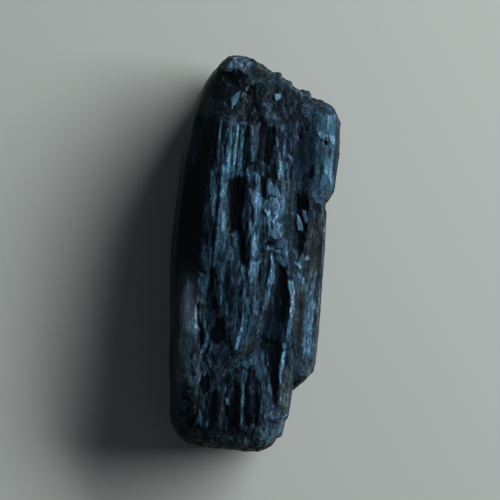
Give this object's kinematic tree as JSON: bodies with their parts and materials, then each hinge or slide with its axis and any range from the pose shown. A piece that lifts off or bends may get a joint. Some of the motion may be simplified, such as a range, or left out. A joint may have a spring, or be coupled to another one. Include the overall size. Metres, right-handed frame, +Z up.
{
  "type": "kyanite crystal",
  "caption": "Dark blue-black kyanite crystal, a blunt bundle of fibrous blades with an oblique splintered end, lying on a flat cleavage face.",
  "frame": {"origin": "middle of the bounding box, at the height of the flat back face that the crystal lies on", "axes": "+Z up, out of the fibrous front; +Y along the blades, towards the oblique splintered end; +X across the blades, towards the two side columns"},
  "size_m": [0.017, 0.042, 0.0116],
  "materials": {
    "kyanite": "glossy, fibrous blue-black crystal with pale steel-blue cleavage flakes, greyer worn edges and a smooth dark left flank"
  },
  "bodies": {
    "root": {"kyanite_crystal": "kyanite"}
  },
  "joints": []
}
